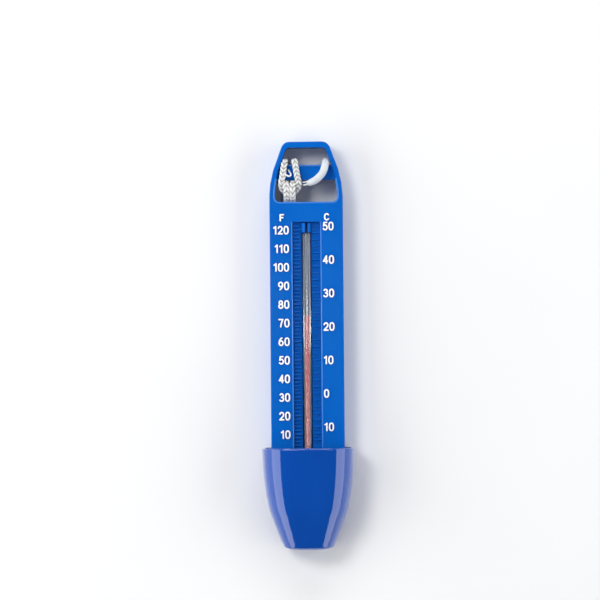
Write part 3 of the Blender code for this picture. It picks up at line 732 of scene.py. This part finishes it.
def make_tube():
    """Stem with its bulb, the fused tip and the spirit in the bulb; gives the bulb's upper end."""
    low = GLASS_BOX[0].y
    high = GLASS_BOX[1].y
    bulb_high = low + 11.6 * MM
    neck_y = low + 14.1 * MM
    outer = [(STEM_RADIUS, high), (STEM_RADIUS, (high + neck_y) / 2)]
    outer += neck(STEM_RADIUS, neck_y, BULB_RADIUS, bulb_high)
    outer += [(BULB_RADIUS, low + BULB_RADIUS)] + dome(BULB_RADIUS, low + BULB_RADIUS, low)
    inner_radius = BULB_RADIUS - BULB_WALL
    inner = [(inner_radius, low + BULB_RADIUS)] + dome(inner_radius, low + BULB_RADIUS, low + BULB_WALL)
    inner.reverse()
    inner += neck(inner_radius, bulb_high - 0.2 * MM, BORE_RADIUS, neck_y + 0.6 * MM)
    inner += [(BORE_RADIUS, high)]
    tube = turned_solid("glass_stem_and_bulb", outer + inner, "glass", 64)
    tip_low, tip_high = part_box("tube_tip")
    tip_profile = [(STEM_RADIUS, tip_low.y)] + dome(STEM_RADIUS, tip_low.y, tip_high.y)
    tip = turned_solid("fused_tip", tip_profile, "glass")
    fill_radius = inner_radius + 0.02 * MM
    fill = [(SPIRIT_RADIUS, neck_y + 0.4 * MM)]
    fill += neck(SPIRIT_RADIUS, neck_y + 0.4 * MM, fill_radius, bulb_high - 0.3 * MM)[1:]
    fill_low = low + BULB_WALL - 0.02 * MM
    fill += [(fill_radius, low + BULB_RADIUS)] + dome(fill_radius, low + BULB_RADIUS, fill_low)
    bulb_fill = turned_solid("spirit_reservoir", fill, "spirit")
    for made, replaced, slot in ((tube, "glass_tube", "glass"), (tip, "tube_tip", "glass"),
                                 (bulb_fill, "spirit_in_bulb", "spirit")):
        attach(made, BODY)
        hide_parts(replaced)
    return bulb_high


def make_column(bulb_high):
    """Spirit thread, baked in place, and the meniscus, fixed to the meniscus's moving body."""
    meniscus_low = MENISCUS_BOX[0].y
    column_high = COLUMN_BOX[1].y
    thread_low = bulb_high - 2.0 * MM
    profile = [(SPIRIT_RADIUS, y) for y in np.linspace(column_high, thread_low, 90)]
    thread = turned_solid("spirit_thread", profile, "spirit", 32)
    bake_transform(thread)
    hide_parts("spirit_column")
    cup_depth = 0.22 * MM
    top = [(SPIRIT_RADIUS * share, READING_Y - cup_depth * (1 - share ** 2))
           for share in (0.05, 0.3, 0.55, 0.8, 1.0)]
    meniscus = turned_solid("spirit_top", top + [(SPIRIT_RADIUS, meniscus_low - 0.04 * MM)], "spirit", 32)
    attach(meniscus, MENISCUS)
    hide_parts("spirit_meniscus")


def make_enamel():
    """White strip on the back of the stem, as a curved band with rounded long edges."""
    inner = STEM_RADIUS + 0.03 * MM
    thickness = 0.15 * MM
    half_angle = math.radians(62.0)
    steps = 20
    section = []
    for step in range(steps + 1):
        angle = half_angle * (2 * step / steps - 1)
        section.append((inner + thickness, angle))
    section.append((inner + thickness / 2, half_angle * 1.03))
    for step in range(steps + 1):
        angle = half_angle * (1 - 2 * step / steps)
        section.append((inner, angle))
    section.append((inner + thickness / 2, -half_angle * 1.03))
    rings = []
    for y in np.linspace(ENAMEL_BOX[0].y, ENAMEL_BOX[1].y, 30):
        rings.append([(radius * math.sin(angle), y, TUBE_AXIS_Z - radius * math.cos(angle))
                      for radius, angle in section])
    data = mesh_from_grid("enamel_stripe", np.array(rings))
    stripe = object_from_mesh("enamel_stripe", data, "enamel")
    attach(stripe, BODY)
    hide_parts("enamel_backing")


# ---------------------------------------------------------------- cord

# The cord's own line in mm: run and tail as packed, hitch up to 0.7 mm off its packed line
RUN_ROUTE = ((-11.65, 36.6, 1.8), (-11.65, 39.5, 2.1), (-11.2, 44.0, 3.2), (-10.2, 50.0, 4.6),
             (-9.3, 56.0, 5.3))
HITCH_ROUTE = (
    (-8.5, 60.4, 6.2), (-8.4, 62.6, 7.5), (-8.4, 64.2, 10.0), (-8.4, 66.0, 12.0), (-8.4, 68.4, 12.6),
    (-8.7, 70.3, 11.4), (-8.7, 70.9, 9.0), (-8.7, 70.9, 6.6), (-8.9, 71.5, 5.2), (-9.2, 73.2, 4.8),
    (-9.3, 76.8, 4.8), (-9.2, 79.4, 4.9), (-9.1, 80.3, 6.6), (-9.1, 80.35, 9.4), (-9.3, 79.5, 11.3),
    (-9.7, 77.2, 11.6), (-10.2, 73.6, 11.6), (-10.7, 70.8, 11.2), (-10.3, 68.4, 9.8), (-9.0, 67.3, 9.0),
    (-7.2, 67.0, 8.8), (-5.4, 67.3, 9.0), (-3.8, 68.4, 9.8), (-3.2, 70.8, 11.2), (-3.7, 73.6, 11.6),
    (-4.3, 77.2, 11.6), (-4.6, 79.5, 11.3), (-4.9, 80.35, 9.4), (-5.1, 80.3, 6.6), (-5.1, 79.4, 4.9),
    (-5.1, 76.8, 4.8), (-5.2, 73.2, 4.8), (-5.5, 71.5, 5.2), (-5.7, 70.9, 6.6), (-5.7, 70.9, 9.0),
    (-5.8, 70.3, 11.4), (-5.9, 68.4, 12.6), (-5.9, 66.0, 12.0), (-5.9, 64.2, 10.0), (-5.9, 62.6, 7.5),
    (-5.75, 60.4, 6.2))
TAIL_ROUTE = (
    (-6.0, 56.0, 5.4), (-6.1, 50.5, 5.0), (-5.6, 46.4, 4.2), (-3.4, 43.6, 3.2),
    (-0.2, 42.7, 2.6), (3.0, 43.6, 2.1), (5.2, 46.3, 1.8), (5.6, 49.4, 1.6), (4.3, 52.3, 1.5),
    (1.3, 54.1, 1.5), (-2.4, 55.2, 1.5), (-5.2, 56.9, 1.5), (-6.8, 59.6, 1.5), (-7.2, 63.4, 1.5),
    (-6.9, 66.8, 1.5), (-5.6, 70.2, 1.5), (-3.2, 73.2, 1.45), (0.4, 75.4, 1.45), (4.0, 77.5, 1.7),
    (6.7, 79.2, 3.1), (8.2, 80.1, 5.6), (8.65, 80.35, 8.5), (8.6, 79.6, 11.3), (8.2, 77.6, 13.1),
    (7.4, 75.4, 13.8), (6.0, 73.6, 13.6), (4.2, 72.1, 13.0), (2.3, 71.2, 12.3), (0.8, 70.9, 11.9))

# Hank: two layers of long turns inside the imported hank
HANK_OUTER = 11.65 * MM
HANK_INNER = 8.9 * MM
HANK_LAYERS_Z = (1.8 * MM, 4.55 * MM)
HANK_LOW_Y = -22.0 * MM
HANK_HIGH_Y = 28.0 * MM


def hank_route():
    """The folded cord's line, from its free end to where the run meets the hank."""
    low_z, high_z = HANK_LAYERS_Z
    points = []

    def straight(x, y_start, y_end, z_start, z_end):
        for share in np.linspace(0.0, 1.0, 12, endpoint=False):
            ease = share * share * (3 - 2 * share)
            points.append((x, y_start + (y_end - y_start) * share, z_start + (z_end - z_start) * ease))

    def turn(end_y, start_angle, sweep, radius_start, radius_end, z):
        for share in np.linspace(0.0, 1.0, 12, endpoint=False):
            ease = share * share * (3 - 2 * share)
            radius = radius_start + (radius_end - radius_start) * ease
            angle = start_angle + sweep * share
            points.append((radius * math.cos(angle), end_y + radius * math.sin(angle), z))

    straight(-HANK_OUTER, HANK_HIGH_Y, HANK_LOW_Y, low_z, low_z)
    turn(HANK_LOW_Y, math.pi, math.pi, HANK_OUTER, HANK_OUTER, low_z)
    straight(HANK_OUTER, HANK_LOW_Y, HANK_HIGH_Y, low_z, low_z)
    turn(HANK_HIGH_Y, 0.0, math.pi, HANK_OUTER, HANK_INNER, low_z)
    straight(-HANK_INNER, HANK_HIGH_Y, HANK_LOW_Y, low_z, low_z)
    turn(HANK_LOW_Y, math.pi, math.pi, HANK_INNER, HANK_INNER, low_z)
    straight(HANK_INNER, HANK_LOW_Y, HANK_HIGH_Y, low_z, high_z)
    turn(HANK_HIGH_Y, 0.0, math.pi, HANK_INNER, HANK_INNER, high_z)
    straight(-HANK_INNER, HANK_HIGH_Y, HANK_LOW_Y, high_z, high_z)
    turn(HANK_LOW_Y, math.pi, math.pi, HANK_INNER, HANK_OUTER, high_z)
    straight(HANK_OUTER, HANK_LOW_Y, HANK_HIGH_Y, high_z, high_z)
    turn(HANK_HIGH_Y, 0.0, math.pi, HANK_OUTER, HANK_OUTER, high_z)
    straight(-HANK_OUTER, HANK_HIGH_Y, HANK_LOW_Y + 6.0 * MM, high_z, high_z)
    return points[::-1]


def distances_along(line):
    """Distance of each point from the line's start."""
    return np.concatenate([[0.0], np.cumsum(np.linalg.norm(np.diff(line, axis=0), axis=1))])


def smooth_line(points, step):
    """Evenly spaced points on a smooth curve through the given ones, as an array."""
    knots = np.array(points, float)
    knots = np.vstack([2 * knots[0] - knots[1], knots, 2 * knots[-1] - knots[-2]])
    share = np.linspace(0.0, 1.0, 24, endpoint=False)[:, None]
    pieces = []
    for before, start, end, after in zip(knots, knots[1:], knots[2:], knots[3:]):
        pieces.append(0.5 * (2 * start + (end - before) * share
                             + (2 * before - 5 * start + 4 * end - after) * share ** 2
                             + (3 * start - before - 3 * end + after) * share ** 3))
    dense = np.vstack(pieces + [knots[-2][None]])
    lengths = distances_along(dense)
    places = np.linspace(0.0, lengths[-1], max(2, round(lengths[-1] / step)) + 1)
    return np.stack([np.interp(places, lengths, dense[:, axis]) for axis in range(3)], axis=1)


def relaxed(line, rounds):
    """Line with its small kinks smoothed out, ends kept."""
    line = line.copy()
    for _ in range(rounds):
        line[1:-1] = (line[:-2] + 2 * line[1:-1] + line[2:]) / 4
    return line


def line_frames(line):
    """Two unit vectors across the line at each point, carried along without twist."""
    tangents = np.gradient(line, axis=0)
    tangents /= np.linalg.norm(tangents, axis=1)[:, None]
    first = np.cross(tangents[0], (0.0, 0.0, 1.0))
    if np.linalg.norm(first) < 0.1:
        first = np.cross(tangents[0], (1.0, 0.0, 0.0))
    normals = np.zeros_like(line)
    normals[0] = first / np.linalg.norm(first)
    for index in range(1, len(line)):
        moved = normals[index - 1] - tangents[index] * (normals[index - 1] @ tangents[index])
        normals[index] = moved / np.linalg.norm(moved)
    return normals, np.cross(tangents, normals)


def braid_relief(along, angle):
    """Height of the plait, 0 in gaps to 1 on crowns: columns of yarns slanted in turn to each side."""
    across = BRAID_COLUMNS * angle / (2 * math.pi)
    column = np.floor(across)
    share = across - column
    lean = np.where(column % 2 == 0, 1.0, -1.0)
    phase = (along / YARN_PITCH + lean * (share - 0.5) * YARN_SLANT) % 1.0
    yarn = 1 - np.abs(2 * phase - 1) ** 3
    arch = np.clip(np.sin(math.pi * share), 0.0, 1.0) ** 0.45
    return np.clip(yarn * (0.35 + 0.65 * arch), 0.0, 1.0)


def facing_angle(normals, binormals):
    """Angle round the cord that looks up, carried smoothly over the stretches where the cord stands."""
    level = np.hypot(normals[:, 2], binormals[:, 2]) > 0.5
    turned = np.unwrap(2 * np.arctan2(binormals[level, 2], normals[level, 2])) / 2
    places = np.arange(len(normals))
    angle = np.interp(places, places[level], turned)
    for _ in range(40):
        angle[1:-1] = (angle[:-2] + 2 * angle[1:-1] + angle[2:]) / 4
    return angle


def store_crown(data, crown):
    """Keep the plait's height with the mesh, for the painted shade in its gaps."""
    layer = data.attributes.new(CROWN_LAYER, "FLOAT", "POINT")
    layer.data.foreach_set("value", crown.astype(np.float32).ravel())


def braided_tube(name, line, along, radius, relief, around, material="cord"):
    """Closed tube whose surface is the braid's own relief; along is each point's distance on the cord."""
    normals, binormals = line_frames(line)
    angle = np.linspace(0.0, 2 * math.pi, around, endpoint=False)
    turned = (angle[None, :] - facing_angle(normals, binormals)[:, None]) % (2 * math.pi)
    height = braid_relief(along[:, None], turned)
    reach = np.asarray(radius)[..., None] * (1 - relief * (1 - height))
    points = (line[:, None, :] + reach[..., None] * (normals[:, None, :] * np.cos(angle)[None, :, None]
                                                     + binormals[:, None, :] * np.sin(angle)[None, :, None]))
    data = mesh_from_grid(name, points)
    store_crown(data, 1 - relief / BRAID_RELIEF * (1 - height))
    return object_from_mesh(name, data, material, 80.0)


def tapered_strand(solids, path, radius_start, radius_end, around=8):
    """Round strand along a path, added to a list of solids."""
    line = relaxed(smooth_line(path, 0.12 * MM), 2)
    normals, binormals = line_frames(line)
    radii = np.linspace(radius_start, radius_end, len(line))
    angle = np.linspace(0.0, 2 * math.pi, around, endpoint=False)
    points = line[:, None, :] + radii[:, None, None] * (normals[:, None, :] * np.cos(angle)[None, :, None]
                                                        + binormals[:, None, :] * np.sin(angle)[None, :, None])
    faces = end_faces(len(line), around) + side_faces(len(line), around)
    solids.append((points.reshape(-1, 3).tolist(), faces))


def make_cord():
    """Run and hank, hitch and tail as one braid cut where the hitch begins and ends."""
    to_metres = [[value * MM for value in point] for point in RUN_ROUTE + HITCH_ROUTE + TAIL_ROUTE]
    hank = smooth_line(hank_route() + to_metres[:5], 0.3 * MM)
    hank = relaxed(hank, 60)
    visible = smooth_line(to_metres[3:], 0.1 * MM)
    visible = relaxed(visible, 30)
    hitch_start = int(np.argmin(np.linalg.norm(visible - np.array(to_metres[5]), axis=1)))
    tail_point = np.array(to_metres[5 + len(HITCH_ROUTE) - 1])
    tail_start = int(np.argmin(np.linalg.norm(visible - tail_point, axis=1)))
    visible_along = distances_along(visible)
    run_line = relaxed(smooth_line(np.vstack([hank[:-8], visible[5:hitch_start + 1:5]]), 0.28 * MM), 4)
    run_along = distances_along(run_line)
    run_along += visible_along[hitch_start] - run_along[-1]
    radius = CORD_DIAMETER / 2
    run = braided_tube("cord_run_and_hank", run_line, run_along, radius, BRAID_RELIEF, 28)
    hitch = braided_tube("cord_hitch_braid", visible[hitch_start:tail_start + 1],
                         visible_along[hitch_start:tail_start + 1], HITCH_RADIUS, BRAID_RELIEF, 60)
    tail_along = visible_along[tail_start:]
    from_end = tail_along[-1] - tail_along
    swell = np.clip(from_end / (20.0 * MM) - 0.5, 0.0, 1.0)
    taper = 0.68 + 0.32 * np.clip(from_end / (2.6 * MM), 0.0, 1.0) ** 0.7
    tail_radius = (TAIL_RADIUS + (radius - TAIL_RADIUS) * swell) * taper
    tail = braided_tube("cord_tail_braid", visible[tail_start:], tail_along, tail_radius, TAIL_RELIEF, 56,
                        "tail")
    return run, run_line, hitch, tail, visible[tail_start:]


def make_cut_end(tail_line):
    """Yarns that splay from the tail's cut end, and the loop of loose thread by the hitch."""
    draw = random.Random(7)
    end = Vector(tail_line[-1])
    heading = (Vector(tail_line[-1]) - Vector(tail_line[-8])).normalized()
    solids = []
    splay = ((0.62, 0.25, 2.3), (0.5, -0.3, 1.7), (-0.55, 0.2, 2.1), (-0.7, -0.25, 1.5))
    for side_y, side_z, reach in splay:
        side = Vector((0.0, side_y, side_z)) * MM
        reach *= MM
        drift = Vector((0.0, draw.uniform(-0.1, 0.1), draw.uniform(-0.1, 0.1))) * MM
        path = [end + side * 0.7 - heading * 1.2 * MM, end + side * 0.9 + heading * 0.2 * reach,
                end + side + drift + heading * 0.65 * reach, end + side * 1.05 + drift + heading * reach]
        tapered_strand(solids, [tuple(point) for point in path], 0.46 * MM, 0.26 * MM)
    fray = joined_solids("cord_tail_frayed_end", solids, "tail")
    store_crown(fray.data, np.ones(len(fray.data.vertices)))
    loop = []
    hook = [(-8.9, 74.6, 12.7), (-8.2, 74.2, 12.9), (-7.3, 73.9, 12.6), (-6.6, 74.3, 12.2),
            (-6.6, 75.0, 11.6), (-7.1, 75.9, 11.1), (-7.6, 76.8, 10.8)]
    tapered_strand(loop, [[value * MM for value in point] for point in hook], 0.42 * MM, 0.3 * MM, 10)
    thread = joined_solids("loose_thread", loop, "cord")
    store_crown(thread.data, np.ones(len(thread.data.vertices)))
    return fray, thread


def make_run_end(run_line):
    """Heat-sealed bead on the cord's far end."""
    end = Vector(run_line[0])
    back = (Vector(run_line[0]) - Vector(run_line[6])).normalized()
    bead = bmesh.new()
    bmesh.ops.create_uvsphere(bead, u_segments=28, v_segments=16, radius=CORD_DIAMETER * 0.53)
    rough = random.Random(3)
    for vertex in bead.verts:
        vertex.co *= 1 + rough.uniform(-0.03, 0.03)
        vertex.co += back * 0.15 * MM
        vertex.co += end
    bead.verts.index_update()
    vertices = [tuple(vertex.co) for vertex in bead.verts]
    # Sorted, because the sphere's faces come in a different order on each run
    faces = sorted(tuple(vertex.index for vertex in face.verts) for face in bead.faces)
    bead.free()
    data = outward_mesh("cord_sealed_end", vertices, faces)
    store_crown(data, np.ones(len(data.vertices)))
    return object_from_mesh("cord_sealed_end", data, "cord")


def make_tie():
    """Flat band round the hank, with its two ends twisted together in the hank's middle."""
    low, high = TIE_BOX
    inset = 0.15 * MM
    corner = 1.6 * MM
    half = (high.x - low.x) / 2 - inset
    bottom = low.z + inset
    top = high.z - inset
    loop = []
    for cx, cz, start in ((half - corner, bottom + corner, -90), (half - corner, top - corner, 0),
                          (-half + corner, top - corner, 90), (-half + corner, bottom + corner, 180)):
        for step in range(7):
            angle = math.radians(start + 90 * step / 6)
            loop.append((cx + corner * math.cos(angle), cz + corner * math.sin(angle),
                         math.cos(angle), math.sin(angle)))
    width = low.y, high.y
    section = [(0.0, -0.13), (0.08, -0.14), (0.42, -0.12), (0.46, -0.02), (0.5, 0.1), (0.54, -0.02),
               (0.58, -0.12), (0.92, -0.14), (1.0, -0.13), (1.0, 0.08), (0.92, 0.09), (0.6, 0.1),
               (0.5, 0.14), (0.4, 0.1), (0.08, 0.09), (0.0, 0.08)]
    rings = []
    for x, z, out_x, out_z in loop + loop[:1]:
        rings.append([(x + out_x * lift * MM, width[0] + share * (width[1] - width[0]), z + out_z * lift * MM)
                      for share, lift in section])
    data = mesh_from_grid("tie_band", np.array(rings[:-1] + rings[:1]), cap=False)
    weld = bmesh.new()
    weld.from_mesh(data)
    bmesh.ops.remove_doubles(weld, verts=weld.verts, dist=0.001 * MM)
    bmesh.ops.recalc_face_normals(weld, faces=weld.faces)
    weld.to_mesh(data)
    weld.free()
    band = object_from_mesh("tie_band", data, "tie")
    solids = []
    middle_y = (width[0] + width[1]) / 2
    for phase in (0.0, math.pi):
        path = [(0.55 * MM * math.cos(phase + turn * 0.7), middle_y - turn * 0.55 * MM,
                 1.2 * MM + 0.12 * MM * turn + 0.55 * MM * math.sin(phase + turn * 0.7)) for turn in range(18)]
        tapered_strand(solids, path, 0.42 * MM, 0.38 * MM, 10)
    twist = joined_solids("tie_twist", solids, "tie")
    return band, twist


def declare_cord():
    """Build the cord's pieces, fix them to the body and hide the imported pieces they replace."""
    run, run_line, hitch, tail, tail_line = make_cord()
    fray, thread = make_cut_end(tail_line)
    bead = make_run_end(run_line)
    band, twist = make_tie()
    for made in (run, hitch, tail, fray, thread, bead, band, twist):
        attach(made, BODY)
    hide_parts("cord_run", "cord_hank")
    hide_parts("cord_hitch")
    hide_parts("cord_tail")
    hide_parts("hank_tie")


# ---------------------------------------------------------------- studio

VIEW_CENTRE = (-3.0 * MM, 19.9 * MM)
VIEW_WIDTH = 261.6 * MM
CAMERA_HEIGHT = 1.2
CAMERA_ROLL = math.radians(-0.5)


def area_light(name, place, target, size, energy):
    lamp = bpy.data.lights.new(name, "AREA")
    lamp.shape = "RECTANGLE"
    lamp.size, lamp.size_y = size
    lamp.energy = energy
    made = bpy.data.objects.new(name, lamp)
    bpy.context.scene.collection.objects.link(made)
    made.location = place
    made.rotation_euler = (Vector(target) - Vector(place)).to_track_quat("-Z", "Y").to_euler()


def make_studio():
    """Pale floor, dim sky and soft panels round the thermometer."""
    floor_mesh = bpy.data.meshes.new("studio_floor")
    floor_mesh.from_pydata([(-3, -3, 0), (3, -3, 0), (3, 3, 0), (-3, 3, 0)], [], [(0, 1, 2, 3)])
    floor = bpy.data.objects.new("studio_floor", floor_mesh)
    bpy.context.scene.collection.objects.link(floor)
    floor.location.z = -0.05 * MM
    material, tree, shader = new_material("studio_paper")
    tone = object_noise(tree, 6.0, detail=3.0)
    vary(tree, shader, "Base Color", tone, [(0.3, (0.78, 0.785, 0.79)), (0.7, (0.8, 0.805, 0.81))])
    settle(shader, {"Roughness": 0.9})
    floor_mesh.materials.append(material)

    world = bpy.data.worlds.new("studio_world")
    bpy.context.scene.world = world
    world.use_nodes = True
    background = world.node_tree.nodes["Background"]
    background.inputs["Color"].default_value = (0.93, 0.95, 1.0, 1.0)
    background.inputs["Strength"].default_value = 0.08

    aim = (0.0, 0.02, 0.0)
    area_light("left_panel", (-0.7, -0.4, 0.3), (0.0, -0.4, 0.05), (1.7, 0.6), 9.0)
    area_light("right_panel", (0.7, -0.4, 0.3), (0.0, -0.4, 0.05), (1.7, 0.6), 8.0)
    area_light("upper_panel", (0.0, 0.95, 0.55), aim, (0.9, 0.5), 5.8)
    area_light("key_box", (-0.5, 0.42, 0.95), aim, (0.35, 0.35), 5.4)
    area_light("left_strip", (-0.34, 0.0, 1.1), aim, (0.025, 0.7), 0.6)
    area_light("right_strip", (0.34, 0.0, 1.1), aim, (0.025, 0.7), 0.45)


def make_camera():
    """Camera straight above the scale's face."""
    data = bpy.data.cameras.new("camera")
    data.sensor_width = 36.0
    data.lens = data.sensor_width * (CAMERA_HEIGHT - FACE_Z) / VIEW_WIDTH
    data.clip_start = 0.05
    camera = bpy.data.objects.new("camera", data)
    bpy.context.scene.collection.objects.link(camera)
    camera.location = (VIEW_CENTRE[0], VIEW_CENTRE[1], CAMERA_HEIGHT)
    camera.rotation_euler = Euler((0.0, 0.0, CAMERA_ROLL))
    bpy.context.scene.camera = camera
    bpy.context.scene.view_settings.view_transform = "Standard"


# ---------------------------------------------------------------- assembly

make_camera()
make_studio()
declare_cord()
make_body()
make_lips()
make_ticks()
make_numerals()
make_cup()
make_column(make_tube())
make_enamel()

bpy.context.view_layer.update()
